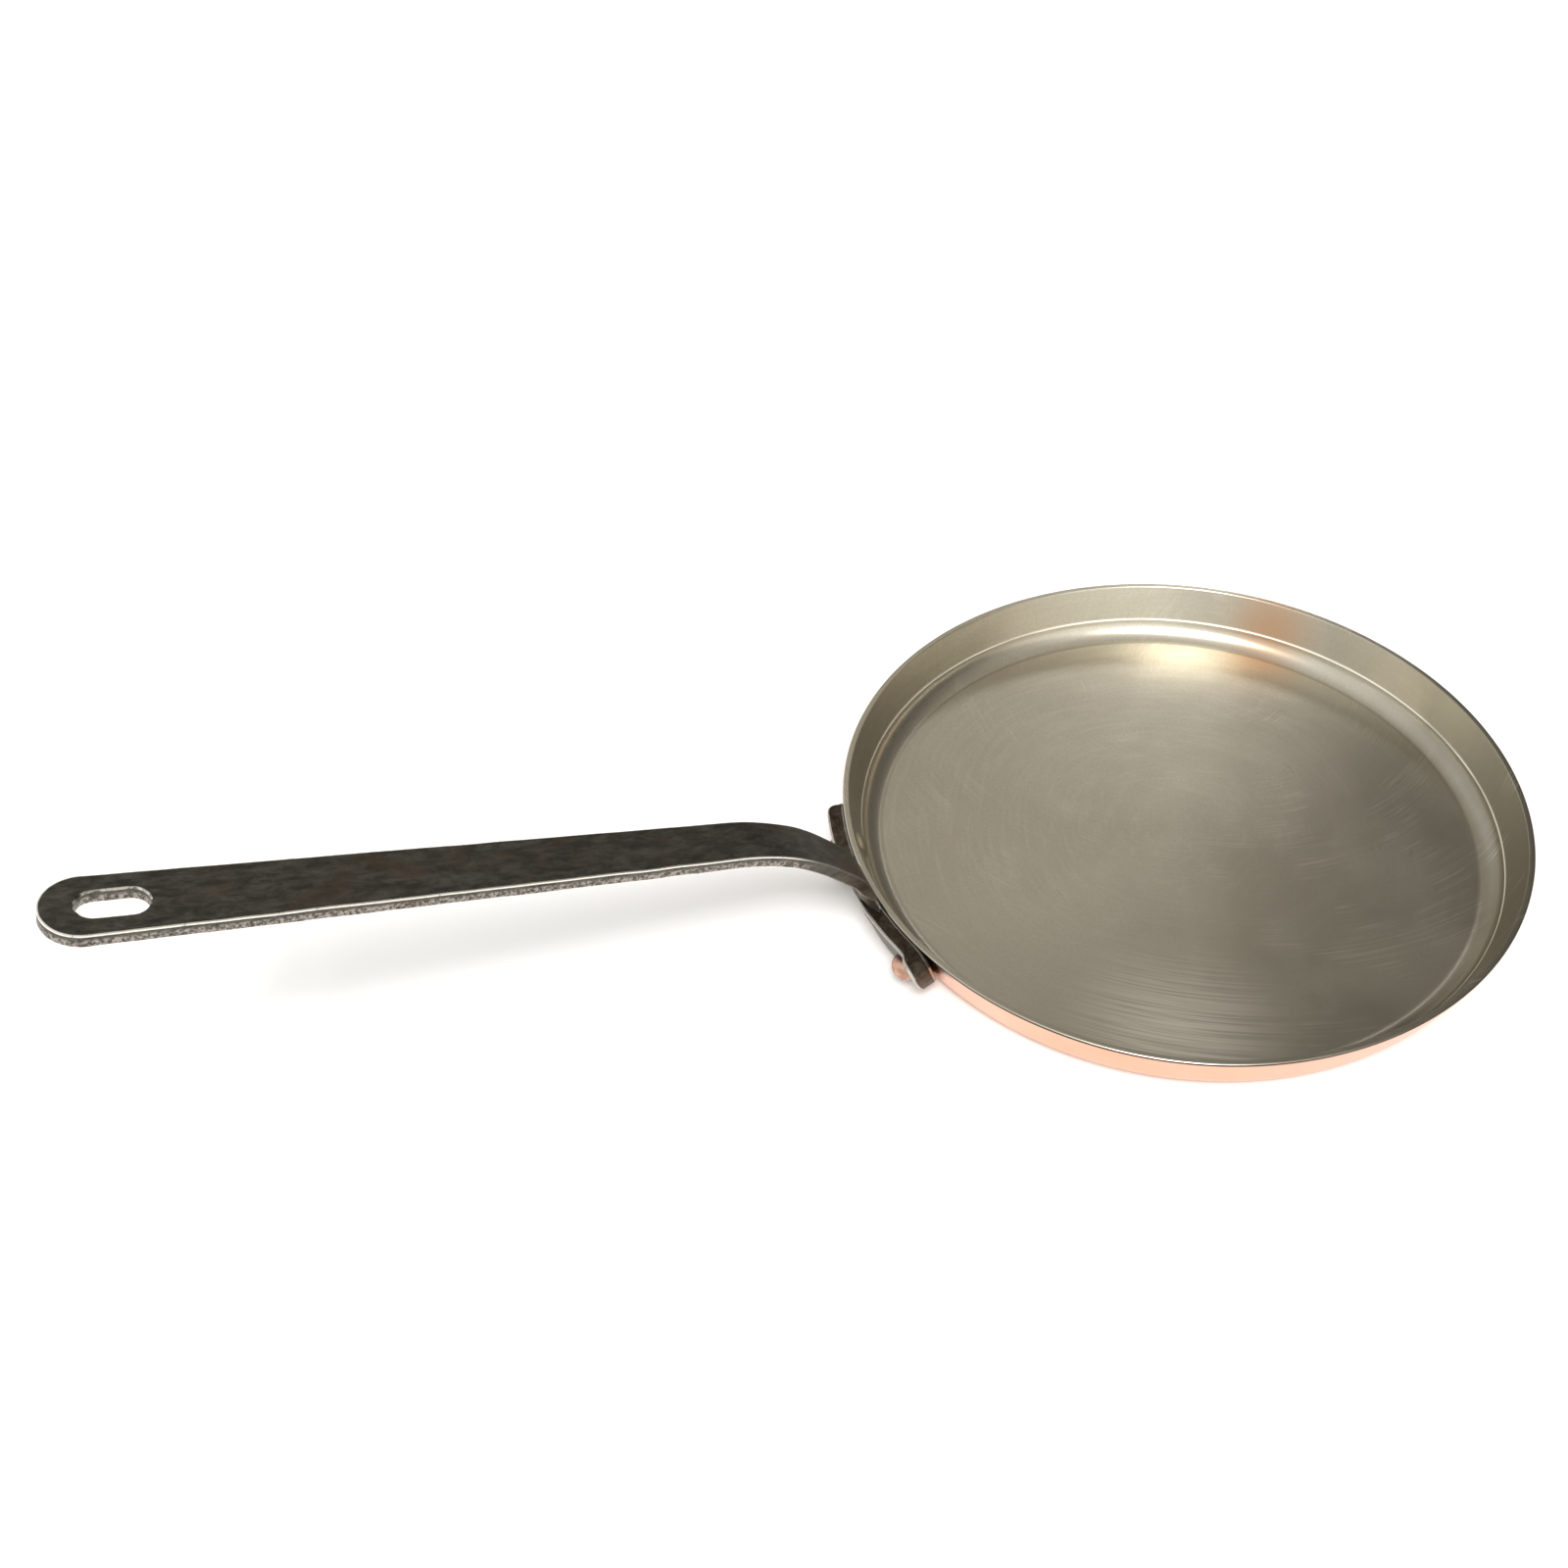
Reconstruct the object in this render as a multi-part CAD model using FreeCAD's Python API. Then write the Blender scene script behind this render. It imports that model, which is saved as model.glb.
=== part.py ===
import FreeCAD, Part
import math
import os

# A shallow copper crepe pan, lined with tin, with a riveted strap handle of forged iron.
# Millimetres, +Z up. The origin is the centre of the base's flat underside.
# The handle runs along -X, and everything is symmetrical about the XZ plane.

# Copper body and tin lining
RIM_RADIUS = 120.0          # outside of the rim
PAN_HEIGHT = 21.0           # underside of the base to the rim
COPPER_THICKNESS = 1.7
TIN_THICKNESS = 0.3
WALL_LEAN = 19.7            # degrees that the wall leans outwards
FLOOR_RADIUS = 106.2        # flat part of the cooking surface
INNER_CORNER = 7.1          # radius of the cove between floor and wall
OUTER_CORNER = 10.5         # radius under the wall, outside
RIM_ROUNDING = 0.5

# Curved plate that holds the handle against the wall
BRACKET_THICKNESS = 6.0
BRACKET_HEIGHT = 15.0
BRACKET_DROP = 0.6          # from the rim down to its top edge
BRACKET_LEFT_SPAN = 21.5    # degrees from the handle's line, one arm is a little longer
BRACKET_RIGHT_SPAN = 18.6
BRACKET_CORNER = 6.0        # radius
BRACKET_CHAMFER = 0.8

# Rivets, square to the wall
RIVET_ANGLE = 13.5          # degrees each side of the handle
RIVET_LEVEL = 12.4          # height where its axis crosses the wall's outer face
RIVET_SHANK_RADIUS = 3.0
RIVET_HEAD_RADIUS = 4.8
RIVET_HEAD_HEIGHT = 4.7
RIVET_SEAT = 0.15           # fills in below the head, where the plate curves away
RIVET_INNER_RADIUS = 5.5
RIVET_INNER_HEIGHT = 1.5

# Strap handle: its bends, along the upper face from the bracket to the tail
STRAP_THICKNESS = 4.5
ROOT_GAP = 0.8              # from the rim out to the strap's inner face
ROOT_HEADING = 90.0         # degrees above level
ROOT_BEND = 22.0            # radius
NECK_HEADING = 46.0
NECK_RUN = 9.2
SHOULDER_BEND = 70.0        # radius
GRIP_HEADING = 14.3
GRIP_RUN = 205.4

# Strap handle: its outline, seen square to the grip
TAIL_WIDTH = 24.0
NECK_WIDTH = 15.8
ROOT_WIDTH = 24.0           # where it spreads onto the bracket
ROOT_SPREAD = 5.0           # length of that spread
SLOT_LENGTH = 19.8
SLOT_WIDTH = 10.4
SLOT_FROM_TIP = 19.6        # from the tail's tip to the slot's middle
STRAP_CHAMFER = 0.5

LEAN = math.radians(WALL_LEAN)
SKIN = COPPER_THICKNESS + TIN_THICKNESS
ORIGIN = FreeCAD.Vector(0, 0, 0)
UP = FreeCAD.Vector(0, 0, 1)
ACROSS = FreeCAD.Vector(0, 1, 0)
HALF_BLANK = 20.0           # more than half of the strap's greatest width
BLANK_SPARE = 5.0           # how far the uncut strap runs past the tail's tip
BLANK_DEPTH = 60.0          # more than the strap's bends drop below the grip's plane
ON_FACE = 0.001


def section_point(point):
    """A (radius, height) point of the half section that runs along the handle."""
    return FreeCAD.Vector(-point[0], 0, point[1])


def line(start, end):
    return Part.LineSegment(section_point(start), section_point(end)).toShape()


def arc(start, middle, end):
    return Part.Arc(section_point(start), section_point(middle), section_point(end)).toShape()


def polar(centre, radius, degrees):
    angle = math.radians(degrees)
    return (centre[0] + radius * math.cos(angle), centre[1] + radius * math.sin(angle))


def revolved(edges, left=180.0, right=180.0):
    """A section turned about the pan's axis, through these degrees each side of the handle."""
    face = Part.Face(Part.Wire(edges))
    face.rotate(ORIGIN, UP, -left)
    return face.revolve(ORIGIN, UP, left + right)


def wall_radius(height, behind_tin):
    """Radius of the sloping wall at a height, so far behind the tin's inner face."""
    outside = RIM_RADIUS - (PAN_HEIGHT - height) * math.tan(LEAN)
    return outside - (SKIN - behind_tin) / math.cos(LEAN)


def inside_section(behind_tin):
    """Rim, crease, middle of the cove and edge of the floor, so far behind the tin's face."""
    radius = INNER_CORNER + behind_tin
    floor = SKIN - behind_tin
    centre = (FLOOR_RADIUS, floor + radius)
    # The crease is where the wall's straight line meets the cove's circle.
    gap = (wall_radius(centre[1], behind_tin) - centre[0]) * math.cos(LEAN)
    crease_angle = math.degrees(math.acos(gap / radius)) - WALL_LEAN
    crease = polar(centre, radius, crease_angle)
    middle = polar(centre, radius, (crease_angle - 90) / 2)
    rim = (wall_radius(PAN_HEIGHT, behind_tin), PAN_HEIGHT)
    return rim, crease, middle, (FLOOR_RADIUS, floor)


def outside_section():
    """Rim, top of the corner, middle of the corner and edge of the flat base."""
    foot = wall_radius(0, SKIN)
    reach = OUTER_CORNER * math.tan((math.pi / 2 - LEAN) / 2)
    corner_top = (foot + reach * math.sin(LEAN), reach * math.cos(LEAN))
    base_edge = (foot - reach, 0)
    middle = polar((base_edge[0], OUTER_CORNER), OUTER_CORNER, -(90 + WALL_LEAN) / 2)
    return (RIM_RADIUS, PAN_HEIGHT), corner_top, middle, base_edge


def bowl(inner, outer):
    """A round bowl between an inside and an outside section."""
    centre_top, centre_bottom = (0, inner[3][1]), (0, outer[3][1])
    return revolved([
        line(centre_top, inner[3]),
        arc(inner[3], inner[2], inner[1]),
        line(inner[1], inner[0]),
        line(inner[0], outer[0]),
        line(outer[0], outer[1]),
        arc(outer[1], outer[2], outer[3]),
        line(outer[3], centre_bottom),
        line(centre_bottom, centre_top),
    ])


def copper_bowl():
    shape = bowl(inside_section(TIN_THICKNESS), outside_section())
    rim_edges = [edge for edge in shape.Edges if edge.BoundBox.ZMin > PAN_HEIGHT - ON_FACE]
    outer_edge = max(rim_edges, key=lambda edge: edge.BoundBox.XLength)
    return shape.makeFillet(RIM_ROUNDING, [outer_edge])


def rivet_place(side):
    """A rivet's own frame: its origin on the copper's inner face, and Z pointing away from the pan."""
    turn = math.radians(180 - side * RIVET_ANGLE)
    outwards = FreeCAD.Vector(math.cos(turn), math.sin(turn), 0)
    axis = outwards * math.cos(LEAN) - UP * math.sin(LEAN)
    on_wall = outwards * wall_radius(RIVET_LEVEL, SKIN) + UP * RIVET_LEVEL
    return FreeCAD.Placement(on_wall - axis * COPPER_THICKNESS, FreeCAD.Rotation(UP, axis))


def cap_middle(radius, height):
    """The point half way along a round cap's edge, from a cap that stands on height 0."""
    ball_radius = (radius ** 2 + height ** 2) / (2 * height)
    half_angle = math.asin(radius / ball_radius) / 2
    return (ball_radius * math.sin(half_angle), height - ball_radius * (1 - math.cos(half_angle)))


def rivet(side):
    length = COPPER_THICKNESS + BRACKET_THICKNESS
    outer, inner = RIVET_HEAD_RADIUS, RIVET_INNER_RADIUS
    outer_middle = cap_middle(outer, RIVET_HEAD_HEIGHT)
    inner_middle = cap_middle(inner, RIVET_INNER_HEIGHT)
    shape = revolved([
        arc((0, -RIVET_INNER_HEIGHT), (inner_middle[0], -inner_middle[1]), (inner, 0)),
        line((inner, 0), (RIVET_SHANK_RADIUS, 0)),
        line((RIVET_SHANK_RADIUS, 0), (RIVET_SHANK_RADIUS, length - RIVET_SEAT)),
        line((RIVET_SHANK_RADIUS, length - RIVET_SEAT), (outer, length - RIVET_SEAT)),
        line((outer, length - RIVET_SEAT), (outer, length)),
        arc((outer, length), (outer_middle[0], length + outer_middle[1]), (0, length + RIVET_HEAD_HEIGHT)),
        line((0, length + RIVET_HEAD_HEIGHT), (0, -RIVET_INNER_HEIGHT)),
    ])
    shape.Placement = rivet_place(side)
    return shape


def tin_over_rivet(side):
    """The tin that was wiped over a rivet's inner head, standing on the copper."""
    radius, height = RIVET_INNER_RADIUS + TIN_THICKNESS, RIVET_INNER_HEIGHT + TIN_THICKNESS
    middle = cap_middle(radius, height)
    shape = revolved([
        line((0, 0), (radius, 0)),
        arc((radius, 0), (middle[0], -middle[1]), (0, -height)),
        line((0, -height), (0, 0)),
    ])
    shape.Placement = rivet_place(side)
    return shape


def tin_lining(copper, rivets):
    shell = bowl(inside_section(0), inside_section(TIN_THICKNESS))
    lumps = [tin_over_rivet(side) for side in (1, -1)]
    return shell.multiFuse(lumps).cut(copper).cut(Part.makeCompound(rivets)).removeSplitter()


def bracket_plate():
    """A plate curved to the wall, with rounded corners and a chamfer round its outer face."""
    top = PAN_HEIGHT - BRACKET_DROP
    bottom = top - BRACKET_HEIGHT
    across = BRACKET_THICKNESS / math.cos(LEAN)
    inner_top, inner_bottom = wall_radius(top, SKIN), wall_radius(bottom, SKIN)
    corners = [(inner_top, top), (inner_top + across, top), (inner_bottom + across, bottom), (inner_bottom, bottom)]
    edges = [line(corners[i - 1], corners[i]) for i in range(4)]
    plate = revolved(edges, BRACKET_LEFT_SPAN, BRACKET_RIGHT_SPAN)
    corner_edges = [edge for edge in plate.Edges
                    if isinstance(edge.Curve, Part.Line) and edge.BoundBox.ZLength < ON_FACE]
    plate = plate.makeFillet(BRACKET_CORNER, corner_edges)
    outer_face = min(plate.Faces, key=lambda face: face.CenterOfMass.x)
    return plate.makeChamfer(BRACKET_CHAMFER, outer_face.Edges)


def strap_line(depth, spare=0.0):
    """The strap's side view, so deep below its upper face: edges, first point and last point.

    Every bend turns downwards, so a deeper line has the same headings and tighter bends.
    """
    here = (RIM_RADIUS + ROOT_GAP + depth, PAN_HEIGHT - BRACKET_DROP)
    first, edges = here, []
    for bend, run, before, after in (
        (ROOT_BEND, NECK_RUN, ROOT_HEADING, NECK_HEADING),
        (SHOULDER_BEND, GRIP_RUN + spare, NECK_HEADING, GRIP_HEADING),
    ):
        radius = bend - depth
        centre = polar(here, radius, before - 90)
        bend_end = polar(centre, radius, after + 90)
        edges.append(arc(here, polar(centre, radius, (before + after) / 2 + 90), bend_end))
        here = polar(bend_end, run, after)
        edges.append(line(bend_end, here))
    return edges, first, here


def strap_blank():
    """The bent strap, wider than it will be, and the sheets that its two broad faces lie on."""
    upper, upper_root, upper_tip = strap_line(0, BLANK_SPARE)
    lower, lower_root, lower_tip = strap_line(STRAP_THICKNESS, BLANK_SPARE)
    edges = upper + lower + [line(upper_root, lower_root), line(upper_tip, lower_tip)]
    shift, width = ACROSS * -HALF_BLANK, ACROSS * 2 * HALF_BLANK
    profile = Part.Wire(Part.__sortEdges__(edges))
    profile.translate(shift)
    sheets = []
    for side_line in (upper, lower):
        wire = Part.Wire(side_line)
        wire.translate(shift)
        sheets.append(wire.extrude(width))
    return Part.Face(profile).extrude(width), sheets


def flat_arc(start, middle, end):
    return Part.Arc(*[FreeCAD.Vector(x, y, 0) for x, y in (start, middle, end)]).toShape()


def flat_line(start, end):
    return Part.LineSegment(*[FreeCAD.Vector(x, y, 0) for x, y in (start, end)]).toShape()


def strap_outline(root):
    """The tapered outline on the grip's own plane: X from the tip to the root, Y across."""
    tail, neck, wide = TAIL_WIDTH / 2, NECK_WIDTH / 2, ROOT_WIDTH / 2
    spread = root - ROOT_SPREAD
    # Each side of the root is a quarter of an oval, nearly, that starts along the strap.
    middle = (root - ROOT_SPREAD * (1 - math.sqrt(0.5)), neck + (wide - neck) * (1 - math.sqrt(0.5)))
    edges = [flat_arc((tail, tail), (0, 0), (tail, -tail))]
    for side in (1, -1):
        edges.append(flat_line((tail, side * tail), (spread, side * neck)))
        edges.append(flat_arc((spread, side * neck), (middle[0], side * middle[1]), (root, side * wide)))
    edges.append(flat_line((root, wide), (root, -wide)))
    return Part.Face(Part.Wire(Part.__sortEdges__(edges)))


def slot_outline():
    half_width = SLOT_WIDTH / 2
    near, far = SLOT_FROM_TIP - SLOT_LENGTH / 2, SLOT_FROM_TIP + SLOT_LENGTH / 2
    edges = [
        flat_arc((near + half_width, half_width), (near, 0), (near + half_width, -half_width)),
        flat_line((near + half_width, -half_width), (far - half_width, -half_width)),
        flat_arc((far - half_width, -half_width), (far, 0), (far - half_width, half_width)),
        flat_line((far - half_width, half_width), (near + half_width, half_width)),
    ]
    return Part.Face(Part.Wire(edges))


def strap():
    blank, sheets = strap_blank()
    tip, root = section_point(strap_line(0)[2]), section_point(strap_line(0)[1])
    grip = FreeCAD.Placement(tip, FreeCAD.Rotation(ACROSS, GRIP_HEADING))
    reach = grip.inverse().multVec(root).x
    outline = strap_outline(reach).cut(slot_outline())
    outline.translate(UP * STRAP_THICKNESS)
    prism = outline.extrude(UP * -BLANK_DEPTH)
    prism.Placement = grip.multiply(prism.Placement)
    shape = blank.common(prism)
    return shape.makeChamfer(STRAP_CHAMFER, [edge for edge in shape.Edges if is_outline_edge(edge, sheets)])


def is_outline_edge(edge, sheets):
    """True for the edges round a broad face, and not for lines that cross it."""
    middle = edge.valueAt((edge.FirstParameter + edge.LastParameter) / 2)
    on_sheet = any(sheet.distToShape(Part.Vertex(middle))[0] < ON_FACE for sheet in sheets)
    return on_sheet and abs(edge.tangentAt(edge.FirstParameter).y) < 1 - ON_FACE


def build():
    rivets = {"left_rivet": rivet(1), "right_rivet": rivet(-1)}
    copper = copper_bowl()
    fasteners = Part.makeCompound(list(rivets.values()))
    nodes = {
        "copper_body": copper.cut(fasteners),
        "tin_lining": tin_lining(copper, list(rivets.values())),
        "handle_bracket": bracket_plate().cut(fasteners),
        "handle_strap": strap(),
    }
    nodes.update(rivets)
    return nodes


os.makedirs("parts", exist_ok=True)
for name, shape in build().items():
    solids = shape.Solids
    print(name, "valid" if shape.isValid() else "INVALID", len(solids), "solids", round(shape.Volume, 1), "mm3")
    (solids[0] if len(solids) == 1 else shape).exportStep("parts/" + name + ".step")
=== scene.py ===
import math

import bmesh
import bpy
from mathutils import Matrix, Vector, noise
from mathutils.geometry import delaunay_2d_cdt


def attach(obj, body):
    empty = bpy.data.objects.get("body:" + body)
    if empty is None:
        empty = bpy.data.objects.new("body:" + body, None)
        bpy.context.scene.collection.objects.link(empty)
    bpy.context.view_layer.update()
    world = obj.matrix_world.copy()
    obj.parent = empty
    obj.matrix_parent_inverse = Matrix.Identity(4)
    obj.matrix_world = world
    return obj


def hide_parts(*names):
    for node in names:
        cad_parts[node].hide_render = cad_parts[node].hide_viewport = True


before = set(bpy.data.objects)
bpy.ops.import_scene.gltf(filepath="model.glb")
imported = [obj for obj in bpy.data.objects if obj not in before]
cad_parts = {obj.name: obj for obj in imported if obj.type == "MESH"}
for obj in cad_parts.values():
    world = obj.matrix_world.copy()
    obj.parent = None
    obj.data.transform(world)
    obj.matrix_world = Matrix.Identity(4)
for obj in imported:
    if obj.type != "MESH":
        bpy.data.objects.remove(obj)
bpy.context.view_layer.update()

# The design's own dimensions in millimetres, turned into metres as each mesh is made
MM = 0.001
UP = Vector((0, 0, 1))

# Pan
RIM_RADIUS = 120.0
PAN_HEIGHT = 21.0
COPPER = 1.7
TIN = 0.3
SKIN = COPPER + TIN
LEAN = math.radians(19.7)
FLOOR_RADIUS = 106.2
INNER_CORNER = 7.1
OUTER_CORNER = 10.5
RIM_ROUNDING = 0.55
CREASE_HALF = 0.5
CREASE_RISE = 0.22

# Marks on the tin: level directions of the painted shade, and places of strokes, of a painted highlight
# streak and of a warm spot
PAINTED_SHADE_SIDE = (0.60, -0.80, 0)
FAINTER_SHADE_SIDE = (-0.6, -0.8, 0)
WIPING_MIDDLE = (54, 72, 0)
STREAK_HIGHLIGHT_SPOT = (-46, -80, 2)
WARM_SPOT = (87, 77, 11)

# Bracket and rivets
BRACKET_THICKNESS = 6.0
BRACKET_HEIGHT = 15.0
BRACKET_DROP = 0.6
BRACKET_LEFT_SPAN = math.radians(21.5)
BRACKET_RIGHT_SPAN = math.radians(18.6)
BRACKET_CORNER = 6.0
BRACKET_BEVELS = (0.8, 0.15)
HAMMERED_BULGE = 2.0
HAMMERED_GAP = 1.5
HAMMERED_LENGTH = 9.0
RIVET_ANGLE = math.radians(13.5)
RIVET_SHANK = 3.0
RIVET_LEVEL = 12.4
RIVET_HEAD = 4.8
RIVET_HEAD_HEIGHT = 4.7
RIVET_INNER = 5.5
RIVET_INNER_HEIGHT = 1.5
RIVET_SEAT = 0.15

# Strap
STRAP_THICKNESS = 4.5
ROOT_GAP = 0.8
ROOT_BEND, ROOT_HEADING = 22.0, math.radians(90.0)
NECK_RUN, NECK_HEADING = 9.2, math.radians(46.0)
SHOULDER_BEND = 70.0
GRIP_RUN, GRIP_HEADING = 205.4, math.radians(14.3)
TAIL_WIDTH = 24.0
NECK_WIDTH = 15.8
ROOT_WIDTH = 24.0
ROOT_SPREAD = 5.0
ROOT_EDGE = 2.0
FLARE_HEIGHT = 9.0
FLARE_THINNED = 0.88
SLOT_LENGTH = 19.8
SLOT_WIDTH = 10.4
SLOT_FROM_TIP = 19.6
BEVEL = 0.5
HOLE_HIGHLIGHT_LEVEL = 0.93

# Light: the world is brightest towards this azimuth and elevation; all lights share one tint
ROOM_SIDE = (190, 12)
DAYLIGHT = (1.0, 0.985, 0.96)


# ---------------------------------------------------------------- camera, floor and light

def polar_point(radius, azimuth, height):
    return Vector((radius * math.cos(azimuth), radius * math.sin(azimuth), height))


def direction(azimuth, elevation):
    azimuth, elevation = math.radians(azimuth), math.radians(elevation)
    return polar_point(math.cos(elevation), azimuth, math.sin(elevation))


def make_camera():
    """Its distance and aim are counted in rim radii from the middle of the rim."""
    rim = Vector((0, 0, PAN_HEIGHT * MM))
    radius = RIM_RADIUS * MM
    place = rim + direction(-127.25, 43.38) * 5.459 * radius
    aim = rim + Vector((-1.0738, 0.4777, 0)) * radius
    forward = (aim - place).normalized()
    right = forward.cross(UP).normalized()
    right = Matrix.Rotation(math.radians(-1.575), 3, -forward) @ right
    up = right.cross(forward)
    data = bpy.data.cameras.new("camera")
    data.sensor_width = 36.0
    data.lens = 41.42
    data.clip_start = 0.01
    camera = bpy.data.objects.new("camera", data)
    camera.matrix_world = Matrix.Translation(place) @ Matrix((right, up, -forward)).transposed().to_4x4()
    bpy.context.scene.collection.objects.link(camera)
    bpy.context.scene.camera = camera


def sun(name, azimuth, elevation, angle, strength):
    data = bpy.data.lights.new(name, "SUN")
    data.angle = math.radians(angle)
    data.energy = strength
    data.color = DAYLIGHT
    light = bpy.data.objects.new(name, data)
    light.rotation_euler = (-direction(azimuth, elevation)).to_track_quat("-Z", "Y").to_euler()
    bpy.context.scene.collection.objects.link(light)


def make_world():
    """A soft room, bright towards the handle's side and dim on the other."""
    world = bpy.data.worlds.new("studio")
    bpy.context.scene.world = world
    world.use_nodes = True
    tree = world.node_tree
    towards = facing(tree, add(tree, "TexCoord").outputs["Generated"], tuple(direction(*ROOM_SIDE)))
    share = add(tree, "MapRange", {"Value": towards, "From Min": -1.0}).outputs[0]
    ramp = make_ramp(tree, share, (
        (0.0, (0.12, 0.115, 0.105)),
        (0.25, (0.13, 0.122, 0.108)),
        (0.40, (0.46, 0.43, 0.375)),
        (0.60, (0.80, 0.79, 0.77)),
        (1.0, (1.0, 0.99, 0.97)),
    ))
    background = tree.nodes["Background"]
    tree.links.new(ramp, background.inputs["Color"])
    background.inputs["Strength"].default_value = 1.0


def make_studio():
    """World, lights and a pale floor just under the pan."""
    make_world()
    sun("window", -116, 58, 22, 2.8)
    sun("skylight", 54, 35, 8, 0.05)
    sun("fill", -85, 18, 60, 0.4)
    bpy.ops.mesh.primitive_plane_add(size=12, location=(0, 0, -0.2 * MM))
    floor = bpy.context.object
    floor.name = "studio_floor"
    material, _, shader = new_material("studio_floor")
    shader.inputs["Base Color"].default_value = (0.93, 0.93, 0.93, 1)
    shader.inputs["Roughness"].default_value = 0.9
    shader.inputs["Specular IOR Level"].default_value = 0.0
    floor.data.materials.append(material)
    bpy.context.scene.view_settings.view_transform = "Standard"


# ---------------------------------------------------------------- shader helpers

def new_material(name):
    material = bpy.data.materials.new(name)
    material.use_nodes = True
    return material, material.node_tree, material.node_tree.nodes["Principled BSDF"]


def add(tree, kind, inputs=None, **settings):
    """Adds a node; an input is a number, a tuple or another node's output."""
    node = tree.nodes.new("ShaderNode" + kind)
    for key, value in settings.items():
        setattr(node, key, value)
    for key, value in (inputs or {}).items():
        if isinstance(value, bpy.types.NodeSocket):
            tree.links.new(value, node.inputs[key])
        else:
            node.inputs[key].default_value = value
    return node


def maths(tree, operation, first, second=0.0, third=0.0):
    return add(tree, "Math", {0: first, 1: second, 2: third}, operation=operation).outputs[0]


def scaled(tree, vector, factor):
    return add(tree, "VectorMath", {0: vector, "Scale": factor}, operation="SCALE").outputs[0]


def stretched(tree, vector, factors):
    return add(tree, "VectorMath", {0: vector, 1: factors}, operation="MULTIPLY").outputs[0]


def noise_at(tree, vector, scale, detail=2.0, rough=0.5, distortion=0.0):
    node = add(tree, "TexNoise", {
        "Vector": vector, "Scale": scale, "Detail": detail, "Roughness": rough, "Distortion": distortion})
    return node.outputs["Fac"]


def remap(tree, value, low, high, to_low=0.0, to_high=1.0):
    """Brings low..high of a value to to_low..to_high, smoothly and clamped."""
    node = add(tree, "MapRange", {
        "Value": value, "From Min": low, "From Max": high, "To Min": to_low, "To Max": to_high})
    node.interpolation_type = "SMOOTHSTEP"
    return node.outputs[0]


def make_ramp(tree, value, stops):
    ramp = add(tree, "ValToRGB", {"Fac": value})
    elements = ramp.color_ramp.elements
    while len(elements) < len(stops):
        elements.new(0.5)
    for element, (place, color) in zip(elements, stops):
        element.position = place
        element.color = (*color, 1)
    return ramp.outputs["Color"]


def mix(tree, factor, first, second):
    """Mixes two colours, each a tuple or an output."""
    first, second = ((*c, 1) if isinstance(c, tuple) else c for c in (first, second))
    node = add(tree, "Mix", data_type="RGBA")
    for index, value in ((0, factor), (6, first), (7, second)):
        if isinstance(value, bpy.types.NodeSocket):
            tree.links.new(value, node.inputs[index])
        else:
            node.inputs[index].default_value = value
    return node.outputs[2]


def bump(tree, height, distance, below=None):
    """Relief of a height so many millimetres deep, on top of another relief."""
    inputs = {"Height": height, "Distance": distance * MM, "Strength": 1.0}
    if below is not None:
        inputs["Normal"] = below
    return add(tree, "Bump", inputs).outputs["Normal"]


def place_mm(tree):
    return scaled(tree, add(tree, "TexCoord").outputs["Object"], 1 / MM)


def stored(tree, name):
    return add(tree, "Attribute", attribute_name=name).outputs["Fac"]


def part_of(tree, vector, axis):
    return add(tree, "SeparateXYZ", {0: vector}).outputs[axis]


def facing(tree, vector, way):
    """How far a vector reaches along a direction."""
    return add(tree, "VectorMath", {0: vector, 1: way}, operation="DOT_PRODUCT").outputs["Value"]


def away_from(tree, value, middle):
    return maths(tree, "ABSOLUTE", maths(tree, "SUBTRACT", value, middle))


def times(tree, first, second):
    return maths(tree, "MULTIPLY", first, second)


def finish_metal(tree, shader, color, rough, relief):
    tree.links.new(color, shader.inputs["Base Color"])
    tree.links.new(rough, shader.inputs["Roughness"])
    tree.links.new(relief, shader.inputs["Normal"])
    shader.inputs["Metallic"].default_value = 1.0


def round_about(tree, place, middle):
    """Level direction and distance of a place from an upright axis."""
    moved = add(tree, "VectorMath", {0: place, 1: middle}, operation="SUBTRACT").outputs[0]
    flat = stretched(tree, moved, (1, 1, 0))
    towards = add(tree, "VectorMath", {0: flat}, operation="NORMALIZE").outputs[0]
    return towards, add(tree, "VectorMath", {0: flat}, operation="LENGTH").outputs["Value"]


def near(tree, place, spot, reach):
    """1 at a spot, falling smoothly to 0 at its reach."""
    away = add(tree, "VectorMath", {0: place, 1: spot}, operation="DISTANCE").outputs["Value"]
    return remap(tree, away, reach, 0.0)


def strokes(tree, towards, out, turns, across, seed, detail=2.0):
    """Noise drawn out round an axis: a larger turns makes it shorter, a larger across narrower."""
    lifted = add(tree, "CombineXYZ", {"Z": maths(tree, "MULTIPLY_ADD", out, across, seed)}).outputs[0]
    around = scaled(tree, towards, turns)
    where = add(tree, "VectorMath", {0: around, 1: lifted}, operation="ADD").outputs[0]
    return noise_at(tree, where, 1.0, detail, 0.6)


# ---------------------------------------------------------------- materials

def painted_shade_share(tree, place, radius, cloud):
    """Share of painted shade, patchy on the floor: most towards its main side and on the wall there, some
    towards a second side.
    """
    aside = facing(tree, place, PAINTED_SHADE_SIDE)
    floor = times(tree, remap(tree, aside, -40.0, 90.0), remap(tree, cloud, 0.3, 0.7, 0.5, 0.9))
    wall = times(tree, remap(tree, aside, 20.0, 90.0), remap(tree, radius, 109.0, 113.0, 0.0, 0.4))
    fainter_shade = remap(tree, facing(tree, place, FAINTER_SHADE_SIDE), 25.0, 100.0, 0.0, 0.4)
    return maths(tree, "ADD", maths(tree, "ADD", floor, wall), fainter_shade)


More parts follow.
